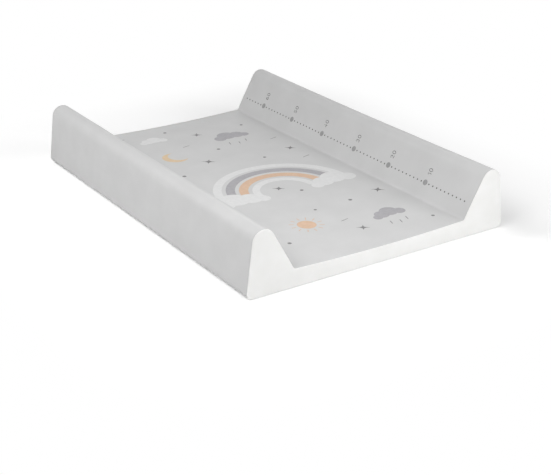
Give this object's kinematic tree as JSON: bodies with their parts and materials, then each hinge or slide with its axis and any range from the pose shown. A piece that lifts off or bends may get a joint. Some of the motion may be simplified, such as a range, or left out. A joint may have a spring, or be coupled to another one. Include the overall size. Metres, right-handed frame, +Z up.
{
  "type": "changing mat",
  "caption": "Stiffened foam changing mat with raised sides, a dished lying surface and a welded coated-foil cover in grey with white end panels.",
  "frame": {"origin": "middle of the underside, on the surface that the mat rests on", "axes": "+X across the mat to the raised side with the ruler, +Y along the mat from the near end to the far end with the air vents, +Z up"},
  "size_m": [0.4992, 0.693, 0.107],
  "materials": {
    "printed_foil": "satin",
    "white_foil": "satin",
    "foam": "matte",
    "board": "matte",
    "eyelet": "satin"
  },
  "bodies": {
    "root": {"bottom_cover": "white_foil", "base_board": "board", "lying_foam": "foam", "left_wedge_foam": "foam", "right_wedge_foam": "foam", "top_cover": "printed_foil", "front_end_panel": "white_foil", "rear_end_panel": "white_foil", "left_vent_eyelet": "eyelet", "right_vent_eyelet": "eyelet", "left_vent_washer": "eyelet", "right_vent_washer": "eyelet"}
  },
  "joints": []
}
